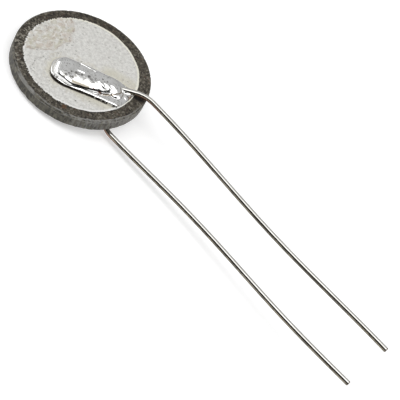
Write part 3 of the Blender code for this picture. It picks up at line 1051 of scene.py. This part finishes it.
# %% Heights of a bead
BEAD_HEIGHTS = {FRONT: 1.10, REAR: 1.085}
SKIRT_HEIGHT = 0.26
BEAD_EDGE = (0.10, 0.06)
APRON_RUN = 0.28
RIM_RUN = 0.2
END_RUN = 0.55
FOOT_GAP = 0.13
NOSE_FLANK = ((0.0, 0.0), (0.74, 11.0), (0.80, 21.0), (0.89, 35.0), (0.915, 66.0), (1.0, 67.0))
WIDE_FLANK = ((0.0, 0.0), (0.36, 18.0), (0.88, 32.0), (0.945, 66.0), (1.0, 66.0))
TIP_FLANK = ((0.0, 0.0), (0.50, 3.0), (0.65, 18.0), (0.74, 33.0), (0.88, 49.0), (0.97, 58.0), (1.0, 60.0))
MIDDLE_FLANK = ((0.0, 0.0), (0.58, 18.0), (0.88, 37.0), (0.95, 66.0), (1.0, 66.0))
CREST_RISE = (0.4, 2.2)
CREST_SHIFT = (0.3, 2.8)
FOOT_DRAW_BACK = (7.0, 5.8)
UPPER_FOOT_GAP = 0.03
LEAST_FLANK = 0.45
WIDE_PART = (4.2, 1.4)
NOSE_PART = (6.7, 1.5)
WIRE_CLIMB = 0.16
WIRE_CLIMB_WIDTH = 0.10
LAST_RIPPLES = (
    ((3.60, -0.95), (2.75, -1.32)),
    ((4.20, -1.05), (3.45, -1.50)),
    ((1.42, -0.40), (1.17, -0.68), (1.30, -1.26), (1.85, -1.62)),
)
RIPPLE = (0.10, 0.05)
LAST_LOBES = (
    ((2.45, -0.85), (0.42, 0.34), 0.06),
    ((3.45, -1.25), (0.50, 0.34), 0.05),
    ((0.62, -1.05), (0.34, 0.28), 0.06),
)
END_LOBE = ((1.95, -1.02), (0.82, 0.80), 0.28)
WIRE_FOLD = (((6.62, 0.46), (4.80, 0.17)), 0.065, 0.085)
CREST_FOLD = (((6.74, -0.69), (5.98, -0.70)), 0.075, 0.060)
BEAD_RINGS = 84


def distance_to_line(points, line):
    """The distance of each point to the nearest of the line's segments."""
    nearest = np.full(len(points), np.inf)
    for begin, finish in zip(line[:-1], line[1:]):
        run = finish - begin
        share = np.clip(((points - begin) @ run) / (run @ run), 0.0, 1.0)
        nearest = np.minimum(nearest, np.linalg.norm(points - begin - share[:, None] * run, axis=1))
    return nearest


def flank_table(flank, steps=200):
    """Heights from crest to foot, as shares, of a flank given by its tilts."""
    shares, tilts = zip(*flank)
    places = np.linspace(0, 1, steps + 1)
    slopes = np.tan(np.radians(np.interp(places, shares, tilts)))
    fall = np.concatenate([[0], np.cumsum((slopes[1:] + slopes[:-1]) / 2)])
    return places, 1 - fall / fall[-1]


def step_over(a, span):
    """A smooth step that starts at an a and takes a run."""
    start, run = span
    return smooth_step((a - start) / run)


def round_rise(gap, width):
    """From 0 at a line to 1 at a distance, steep at first and then level."""
    return 1 - (1 - np.clip(gap / width, 0, 1)) ** 2


def dome_share(a, b):
    """The dome's height at a and b, from 0 at its foot to 1 along its crest."""
    # The crest leaves the wire for the middle of the bead, and the lower foot draws back to the wire.
    crest_b = -BEAD_OFF_WIRE * step_over(a, CREST_SHIFT)
    draw_start, draw_run = FOOT_DRAW_BACK
    back = np.clip((draw_start - a) / draw_run, 0.0, 1.15)
    lower_foot = -BEAD_OFF_WIRE - BEAD_HALF_WIDTH + FOOT_GAP + 0.50 * back + 1.3 * back ** 4
    lower_foot = lower_foot + 0.07 * smooth_step((a - 7.2) / 1.0)
    lower_foot = np.minimum(lower_foot, crest_b - LEAST_FLANK)
    full = BEAD_HALF_WIDTH - BEAD_OFF_WIRE
    upper_foot = BEAD_SHOULDER + (full - BEAD_SHOULDER) * smooth_step(a / NOSE_START) - UPPER_FOOT_GAP

    # How far out a place lies on either flank or ahead on the nose, as a share of the way to the foot.
    lower = np.clip((crest_b - b) / (crest_b - lower_foot), 0.0, None)
    upper = np.clip((b - crest_b) / (upper_foot - crest_b), 0.0, None)
    across = lower + upper
    ahead = np.clip((a - NOSE_START) / (NOSE_REACH - 0.14), 0.0, None)
    turn = 0.5 + 0.5 * (upper - lower) / np.maximum(across + ahead, 1e-6)
    plan = 2.1 + 0.9 * turn
    out = np.clip((across ** plan + ahead ** plan) ** (1 / plan), 0, 1)

    # The flank tables pass into each other, and the upper flank is a plain rounded one.
    tip = ahead ** 2 / np.maximum(ahead ** 2 + 2 * lower ** 2, 1e-9)
    flank = np.interp(out, *flank_table(MIDDLE_FLANK))
    for table, part in (
        (WIDE_FLANK, step_over(a, WIDE_PART)), (NOSE_FLANK, step_over(a, NOSE_PART)), (TIP_FLANK, tip),
    ):
        flank += (np.interp(out, *flank_table(table)) - flank) * part
    far_side = 1 - out ** (4.6 + 2.6 * ahead ** 2 / np.maximum(ahead ** 2 + upper ** 2, 1e-9))
    return flank + (far_side - flank) * smooth_step(1.6 * turn - 0.4)


def smooth_max(first, second, width):
    mixed = np.clip(0.5 + (first - second) / (2 * width), 0, 1)
    return second + (first - second) * mixed + width * mixed * (1 - mixed)


def lobe(a, b, middle, radii, height):
    """A low round swelling."""
    out = np.hypot((a - middle[0]) / radii[0], (b - middle[1]) / radii[1])
    return height * np.sqrt(1 - np.clip(out, 0, 1) ** 2.4)


def ridge(a, b, line, width, height):
    """A narrow raised line through some places."""
    line = np.array(line)
    gap = distance_to_line(np.stack([a.ravel(), b.ravel()], 1), line).reshape(a.shape)
    return height * np.exp(-(gap / width) ** 2)


def bead_heights(side, a, b, from_edge, from_side):
    """Heights above the bead's foot."""
    edge_height, edge_width = BEAD_EDGE
    edge = edge_height * np.sqrt(1 - (1 - np.clip(from_edge / edge_width, 0, 1)) ** 2)
    slope = round_rise(from_side, APRON_RUN)
    skirt = edge + (SKIRT_HEIGHT - edge_height) * np.minimum(slope, round_rise(from_edge, RIM_RUN))
    at_end = smooth_step((from_side - from_edge) / 0.25)
    skirt += (SKIRT_HEIGHT * round_rise(from_edge, END_RUN) - skirt) * at_end
    skirt += 0.010 * np.sin(2.3 * a + 1.9 * b) * slope + 0.008 * np.sin(5.1 * a - 3.7 * b + 1.0) * slope
    crest = (BEAD_HEIGHTS[side] - SKIRT_HEIGHT) * step_over(a, CREST_RISE)
    blend_width = 0.05
    rise = smooth_max(crest * dome_share(a, b), lobe(a, b, *END_LOBE), blend_width) - blend_width / 4
    heights = skirt + np.clip(rise, 0, None)
    swellings = [lobe(a, b, *values) for values in LAST_LOBES]
    ripples = [ridge(a, b, line, *RIPPLE) for line in LAST_RIPPLES]
    for extra in swellings[:2] + ripples + swellings[2:]:
        heights += extra
    return heights


def bead_grid(side):
    """Ground points and heights, one row for each outline point, from the outline to the crest."""
    outline, shares = bead_columns(side)
    spine_a = BEAD_SHOULDER + (NOSE_START - BEAD_SHOULDER) * shares
    spine_b = -BEAD_OFF_WIRE * np.minimum(2 * shares, 1.0)
    spine = bead_exit(side) + spine_a[:, None] * INWARD + spine_b[:, None] * ACROSS
    reach = spine - outline
    steps = (np.arange(BEAD_RINGS + 1) / BEAD_RINGS) ** 1.25
    ground = outline[:, None, :] + reach[:, None, :] * steps[None, :, None]
    flat = ground.reshape(-1, 2)
    from_edge = distance_to_line(flat, np.vstack([outline, outline[:1]])).reshape(len(outline), -1)
    from_side = distance_to_line(flat, outline[:1 - END_STEPS]).reshape(from_edge.shape)
    from_edge[:, 0] = 0.0
    a = ((flat - bead_exit(side)) @ INWARD).reshape(from_edge.shape)
    b = ((flat - bead_exit(side)) @ ACROSS).reshape(from_edge.shape)
    heights = bead_heights(side, a, b, from_edge, from_side)
    heights[:, 1:-1] = (heights[:, :-2] + 2 * heights[:, 1:-1] + heights[:, 2:]) / 4
    around = (np.roll(heights, 1, 0) + 2 * heights + np.roll(heights, -1, 0)) / 4
    heights[:, 1:] = around[:, 1:]
    heights += ridge(a, b, *WIRE_FOLD)

    route = np.array(lead_route(side))[:, :2]
    beside = np.clip(distance_to_line(flat, route) - WIRE_RADIUS, 0, None).reshape(heights.shape)
    near_exit = smooth_step((a + 0.15) / 0.5) * (1 - smooth_step((a - 0.7) / 0.8))
    inside = smooth_step(from_edge / 0.35)
    heights += WIRE_CLIMB * near_exit * inside * np.exp(-beside / WIRE_CLIMB_WIDTH)
    heights = np.minimum(heights, BEAD_HEIGHTS[side])
    if side == FRONT:
        heights += ridge(a, b, *CREST_FOLD)

    # The dark line of flux and painted shade follows the bead's foot and runs out towards its upper side.
    foot_line = from_side + 0.06 * smooth_step((b + 2.1) / 1.0) + 0.4 * smooth_step((b + 0.3) / 0.8)
    return ground, heights, foot_line


def bead_mesh(name, side):
    ground, heights, foot_line = bead_grid(side)
    rows, rings = heights.shape
    top = np.concatenate([ground, (BEAD_FOOT + heights)[:, :, None]], axis=2).reshape(-1, 3)
    index = np.arange(rows * rings).reshape(rows, rings)
    mesh = bpy.data.meshes.new(name)
    faces = [tuple(int(i) for i in index[::-1, 0])]
    for row in range(rows):
        after = (row + 1) % rows
        for ring in range(rings - 1):
            corners = (index[row, ring], index[after, ring], index[after, ring + 1], index[row, ring + 1])
            faces.append(tuple(int(i) for i in corners))
    mesh.from_pydata(top.tolist(), [], faces)
    keep(mesh, "foot_line", foot_line.ravel())
    bm = bmesh.new()
    bm.from_mesh(mesh)
    bmesh.ops.remove_doubles(bm, verts=bm.verts, dist=WELD)
    bm.to_mesh(mesh)
    bm.free()
    mesh.shade_smooth()
    mesh.set_sharp_from_angle(angle=math.radians(60))
    return mesh


print("bead of", bead_grid(FRONT)[1].max().round(2), "mm")

# %% [markdown]
# The finish of the solder is a mirror with a little cloud in it. What dims it is drawn by place:
# pits where gas came out, a dusty stretch and a darker beige band on the lower flank, a dull skin on
# the upper side of the nose, brown lines of flux between the lobes, and a black line of flux and
# painted shade where the bead meets the silver. That last line has breaks, and the silver's own
# dark line of flux and painted shade takes its breaks from the same pattern, so the two match.

# %% Finish of the solder


def bead_point(a, b):
    """A place of the front bead on the face, for marks that are measured along the ground."""
    return (*bead_place(FRONT, a, b), 0.0)


def foot_gaps(flat_place):
    """Breaks in the dark line of flux and painted shade along the foot of a bead, the same ones on the bead and
    on the silver.
    """
    whole = fade(distance(flat_place, bead_point(8.6, -1.6)), 2.4, 1.6)
    return larger(fade(noise(flat_place, 1.5, 3.0, 0.65), 0.42, 0.5), whole)


FLUX_LINES = (
    (((3.25, -1.96), (2.31, -1.62), (1.58, -1.15), (1.43, -0.80), (1.65, -0.56)), 0.11, rgb(0.36, 0.30, 0.235)),
    (((4.56, -2.01), (3.46, -1.99)), 0.08, rgb(0.10, 0.05, 0.03)),
)
DUSTY_EDGE = (bead_point(8.10, -1.75), bead_point(4.60, -1.20))
DULL_SKIN = (bead_point(9.45, 0.25), bead_point(8.50, 0.95))
LOWER_FLANK_BAND = (bead_point(6.90, -2.14), bead_point(5.10, -2.12))
PITS = ((7.37, -1.19, 0.11), (6.85, -1.12, 0.16), (6.17, -1.06, 0.13), (5.37, -0.95, 0.18), (7.58, -1.52, 0.10),
        (7.03, -1.76, 0.13), (7.85, -1.78, 0.12), (7.93, -2.05, 0.10), (6.75, -1.52, 0.09), (8.65, -2.17, 0.13),
        (8.97, -1.95, 0.10), (8.37, -2.46, 0.12), (3.85, -0.62, 0.10), (3.30, -0.72, 0.10))


def solder_finish():
    material, shader, place = new_finish("bright_solder", 0.06, 1.0)
    on_ground = flattened(place)
    cloudy = fade(noise(place, 1.1, 4.0, 0.6), 0.42, 0.66)
    metal = mix(cloudy, rgb(0.87, 0.87, 0.86), rgb(0.76, 0.76, 0.74))
    fine = noise(place, 5.0, 4.0, 0.65)
    metal = mix(fade(fine, 0.54, 0.68, 0.0, 0.8), metal, rgb(0.22, 0.215, 0.2))
    dusty = fade(streak_mark(on_ground, *DUSTY_EDGE, 0.55), 0.0, 0.6)
    dust = dusty * fade(noise(place, 3.4, 4.0, 0.7), 0.44, 0.62, 0.0, 0.85)
    metal = mix(dust, metal, rgb(0.26, 0.255, 0.24))
    pits = use_effect(SPECKS, Place=place, Size=0.42, Share=0.14, Width=0.2)
    metal = mix(pits["Mask"] * 0.6, metal, rgb(0.22, 0.21, 0.19))
    for a, b, radius in PITS:
        off = distance(on_ground, bead_point(a, b))
        metal = mix(fade(off, radius * 1.5, radius * 0.5, 0.0, 0.8), metal, rgb(0.15, 0.14, 0.125))
    # A darker beige band along the lower flank of the bead.
    metal = mix(streak_mark(on_ground, *LOWER_FLANK_BAND, 0.26), metal, rgb(0.21, 0.19, 0.155))
    for points, width, flux_colour in FLUX_LINES:
        for begin, finish in zip(points[:-1], points[1:]):
            mark = streak_mark(on_ground, bead_point(*begin), bead_point(*finish), width)
            metal = mix(mark, metal, flux_colour)
    dull = fade(streak_mark(on_ground, *DULL_SKIN, 0.6), 0.0, 0.5)
    metal = mix(dull * 0.8, metal, rgb(0.64, 0.64, 0.63))
    # Painted shade where the bead meets the silver, together with the flux there: a broken black line along the
    # foot.
    foot_shade_and_flux = foot_gaps(on_ground) * fade(noted("foot_line"), 0.09, 0.045)
    metal = mix(foot_shade_and_flux, metal, rgb(0.03, 0.022, 0.015))
    feed(shader, "Base Color", metal)
    rough = fade(cloudy, 0.0, 1.0, 0.08, 0.15) + pits["Mask"] * 0.25 + (dull * 0.4 + dusty * 0.12)
    feed(shader, "Roughness", rough + foot_shade_and_flux * 0.5)
    flow = noise(place, 1.6, 3.0, 0.55)
    bump(shader, flow * 0.5 - pits["Mask"] * 0.3 + fine * 0.14, 0.03 * MM)
    return material


SOLDER = solder_finish()
for side, side_name in SIDE_NAMES.items():
    bead = seat(f"{side_name}_solder_bead", bead_mesh(f"{side_name}_solder_bead", side), face_place(side))
    bead.data.materials.append(SOLDER)
    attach(bead, "root")
    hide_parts(f"{side_name}_solder")

# %% [markdown]
# The silver coat is a paste printed through a screen and fired on. It is turned like the disc,
# from a thin section, but its edge follows the mesh of the screen: small teeth on one side and
# a cleaner, slightly raised line on the other. Noise on the radius makes the teeth.

# %% Tree that prints the coat
COAT_THICKNESS = 0.04
RAGGED_ANGLE = -2.5


def coat_tree():
    tree, start, end = geometry_tree("printed_silver_coat", [
        ("Turn Steps", "Int", 720),
        ("Radius", "Float", COAT_RADIUS),
        ("Foot", "Float", COAT_TOP - COAT_THICKNESS),
        ("Tooth Depth", "Float", 0.13),
        ("Tooth Size", "Float", 0.20),
        ("Ragged Side", "Float", RAGGED_ANGLE),
        ("Lip", "Float", 0.012),
        ("Relief", "Float", 0.006),
        ("Material", "Material", None),
    ])
    body = wrap_section(start)
    place = add_node("GeometryNodeInputPosition")[0]
    parts, out, outward = polar(place)
    rim_point = scaled(outward, start["Radius"])
    ragged = fade(dot(outward, way_out(start["Ragged Side"])), -0.4, 0.6, 0.15, 1.0)
    tooth = noise(rim_point, 1.0 / start["Tooth Size"], 1.0)
    wander = noise(rim_point, 0.7, 1.0)
    tooth = fade(tooth, 0.44, 0.58) * (ragged * start["Tooth Depth"])
    cut = tooth + fade(wander, 0.3, 0.7) * 0.05
    near_edge = fade(out, start["Radius"] - 0.5, start["Radius"])
    pull = scaled(outward, near_edge * cut * -1.0)
    on_top = calc("GREATER_THAN", parts["Z"], start["Foot"] + 0.02)
    lip = fade(out, start["Radius"] - 0.22, start["Radius"] - 0.06) * start["Lip"]
    relief = (noise(place, 3.2, 3.0, 0.6) - 0.6) * start["Relief"]
    lift = on_top * (lip + relief)
    offset = vector_calc("ADD", pull, combine(Z=lift))
    body = note(body, "from_rim", start["Radius"] - out)
    body = add_node("GeometryNodeSetPosition", {"Geometry": body, "Offset": offset})[0]
    finish_tree(body, start["Material"], end)
    return tree


def coat_section(radius, foot, top, rows, edge_rows, under_rows):
    """(r, z) points over the thin coat, with a rounded edge."""
    corner = (top - foot) / 2
    over = [((radius - corner) * step / rows, top) for step in range(rows)]
    for step in range(edge_rows + 1):
        turn = math.pi * step / edge_rows
        over.append((radius - corner + corner * math.sin(turn), (top + foot) / 2 + corner * math.cos(turn)))
    over += [((radius - corner) * (1 - step / under_rows), foot) for step in range(1, under_rows + 1)]
    return [(r, 0.0, z) for r, z in over]


COAT_TREE = coat_tree()
print("coat tree:", len(COAT_TREE.nodes), "nodes")

# %% [markdown]
# The finish of the silver is matte and nearly white, with a fine grey mottle and small dark
# specks. A pink and beige stain covers one side of the front face. It dried from its border
# inwards, so it has a brown, wavy outline and fainter tide marks inside. Flux left a yellow
# halo round the bead, and a dark line of flux and painted shade lies along its foot, so each point of the coat
# also notes its distance to the bead. Two yellowish flux stains spread beside the bead, and a few scratches and
# smudges lie on the front. The print's edge is paler, partly as a painted highlight, and creamy on the side
# towards the leads.

# %% Finish of the silver
STAIN_MIDDLE = (-7.5, -0.45, 0.0)
STAIN_RADIUS = 4.50
TIDE_PITCH = 0.62
SCRATCHES = (((-3.04, -4.42), (-2.94, -4.02)), ((-2.80, -4.72), (-2.50, -5.30)))
SMUDGES = (((-2.98, 0.50), (-2.92, 0.78)), ((-2.56, 0.76), (-2.46, 1.00)), ((-3.82, 0.10), (-3.76, 0.34)),
           ((-5.80, -2.98), (-5.74, -2.80)), ((-4.70, 1.84), (-4.64, 1.96)))
FLUX_STAINS = (((3.30, 1.90), (0.10, 1.25), 1.3, 0.50), ((5.60, -2.90), (2.40, -3.20), 1.1, 0.28))
BEAD_LOWER_SIDE = {side: float(bead_exit(side) @ ACROSS) - BEAD_OFF_WIRE for side in SIDE_NAMES}


def stain_colours(colour, place, moved):
    """Lays the dried stain over a colour: its tint, its tide marks and its border."""
    wander = (noise(moved, 0.8, 4.0, 0.6) - 0.5) * 1.9
    gap = distance(place, STAIN_MIDDLE) - STAIN_RADIUS + wander
    tint = mix(fade(noise(moved, 0.7, 2.0), 0.42, 0.56), rgb(0.575, 0.51, 0.44), rgb(0.55, 0.52, 0.42))
    patch = fade(noise(moved, 2.0, 4.0, 0.7), 0.4, 0.58, 0.1, 0.9) * fade(gap, -3.2, -1.6, 0.35, 1.0)
    colour = mix(fade(gap, 0.05, -0.2) * patch, colour, tint)
    tide_bend = noise(moved, 1.2, 3.0, 0.6) * 9.0
    tide = calc("SINE", gap * (math.tau / TIDE_PITCH) + tide_bend)
    inside = fade(gap, -0.15, -0.35)
    pale = fade(tide, 0.8, 0.98) * inside * 0.9
    dark = fade(tide, -0.8, -0.98) * inside * 0.75
    breaks = fade(noise(moved, 1.6, 2.0), 0.46, 0.58)
    colour = mix(pale * breaks, colour, rgb(0.78, 0.77, 0.74))
    colour = mix(dark * breaks, colour, rgb(0.4, 0.33, 0.27))
    border = fade(abs(gap), 0.22, 0.05) * 0.8
    return mix(border * fade(breaks, 0.0, 1.0, 0.25, 1.0), colour, rgb(0.42, 0.345, 0.285))


def silver_finish(name, shift, side):
    material, shader, place = new_finish(name, 0.6, 0.3)
    moved = vector_calc("ADD", place, shift)
    mottle = use_effect(MOTTLE, Place=moved, Size=0.38, Contrast=0.14, Dark=rgb(0.64, 0.63, 0.6),
                        Light=rgb(0.74, 0.735, 0.705))
    fine = use_effect(GRAINS, Place=moved, Size=0.13, Cluster=0.25)["Value"]
    grain_shade = mix(fine, rgb(0.87, 0.87, 0.87), rgb(1.11, 1.11, 1.11))
    colour = mix(1.0, mottle["Color"], grain_shade, "MULTIPLY")
    if side == FRONT:
        colour = stain_colours(colour, place, moved)
    specks = use_effect(SPECKS, Place=moved, Size=0.36, Share=0.36, Width=0.34)
    colour = mix(specks["Mask"] * (specks["Random"] * 0.95), colour, rgb(0.2, 0.19, 0.17))
    if side == FRONT:
        marks = [streak_mark(place, (*begin, 0.0), (*end, 0.0), 0.11) for begin, end in SCRATCHES + SMUDGES]
        worst = functools.reduce(larger, marks)
        colour = mix(worst * 0.75, colour, rgb(0.2, 0.185, 0.165))

    to_bead = noted("to_bead")
    parts, _, outward = polar(vector_calc("SUBTRACT", place, (*coat_middle(side), 0.0)))
    halo_width = fade(noise(moved, 0.8, 2.0), 0.35, 0.65, 0.35, 1.1)
    inland = fade(noted("from_rim"), 0.2, 0.4)
    halo = fade(to_bead, halo_width, 0.05, 0.0, 0.5) * inland
    colour = mix(halo, colour, rgb(0.66, 0.62, 0.47))
    on_ground = flattened(vector_calc("ADD", place, (*coat_middle(side), 0.0)))
    cloudy = fade(noise(moved, 1.3, 3.0, 0.6), 0.3, 0.6, 0.55, 1.0)
    for begin, finish, width, strength in FLUX_STAINS:
        mark = streak_mark(on_ground, bead_point(*begin), bead_point(*finish), width)
        colour = mix(mark * cloudy * (inland * strength), colour, rgb(0.57, 0.535, 0.4))
    tide_line = fade(abs(to_bead - halo_width), 0.1, 0.02, 0.0, 0.22)
    colour = mix(tide_line, colour, rgb(0.45, 0.38, 0.24))

    # The print's edge is paler, partly as a painted highlight along its lip: white and broken on the ragged
    # side, creamy towards the leads.
    edge = fade(noted("from_rim"), 0.3, 0.16)
    ragged = dot(outward, way_at(RAGGED_ANGLE))
    gaps = fade(noise(moved, 3.0, 2.0), 0.4, 0.55)
    strength = blend(fade(ragged, 0.1, 0.6), 0.85, gaps * 0.7)
    pale_edge_and_highlight_colour = mix(fade(parts["Y"], -0.3, 2.2), rgb(0.9, 0.895, 0.87), rgb(0.85, 0.83, 0.72))
    colour = mix(edge * strength, colour, pale_edge_and_highlight_colour)

    # Painted shade and flux: a broken near-black line on the silver along the bead's lower foot.
    lower_side = BEAD_LOWER_SIDE[side]
    below_bead = fade(dot(place, (*ACROSS, 0.0)), lower_side + 0.1, lower_side - 1.1)
    flux_gaps = blend(foot_gaps(on_ground), 0.25, 1.0) * inland
    silver_foot_shade_and_flux = fade(to_bead, 0.18, 0.12) * (below_bead * flux_gaps)
    colour = mix(silver_foot_shade_and_flux * 0.97, colour, rgb(0.012, 0.009, 0.006))
    feed(shader, "Base Color", colour)
    feed(shader, "Roughness", fade(mottle["Share"], 0.0, 1.0, 0.68, 0.5))
    feed(shader, "Metallic", fade(silver_foot_shade_and_flux, 0.0, 1.0, 0.3, 0.0))
    bump(shader, noise(moved, 9.0, 3.0, 0.6) - specks["Mask"] * 0.4, 0.012 * MM)
    return material


def print_coat(side, name, material):
    """Grows one coat in the frame of its own middle, then moves it to its place on the face."""
    foot = COAT_TOP - COAT_THICKNESS
    points = coat_section(COAT_RADIUS, foot, COAT_TOP, rows=88, edge_rows=4, under_rows=4)
    place = face_place(side) @ Matrix.Translation((*coat_middle(side), 0.0))
    coat = grow(name, COAT_TREE, section_mesh(f"{name}_section", points), {"Material": material}, place)
    on_face = vectors_of(coat.data.attributes["own_place"].data, "vector")[:, :2] + coat_middle(side)
    outline = bead_columns(side)[0]
    keep(coat.data, "to_bead", distance_to_line(on_face, np.vstack([outline, outline[:1]])))
    return coat


SILVER = {
    FRONT: silver_finish("fired_silver_front", (0.0, 0.0, 0.0), FRONT),
    REAR: silver_finish("fired_silver_rear", (31.0, 17.0, 5.0), REAR),
}
for side, side_name in SIDE_NAMES.items():
    coat = print_coat(side, f"{side_name}_silver_coat", SILVER[side])
    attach(coat, "root")
    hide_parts(f"{side_name}_electrode")
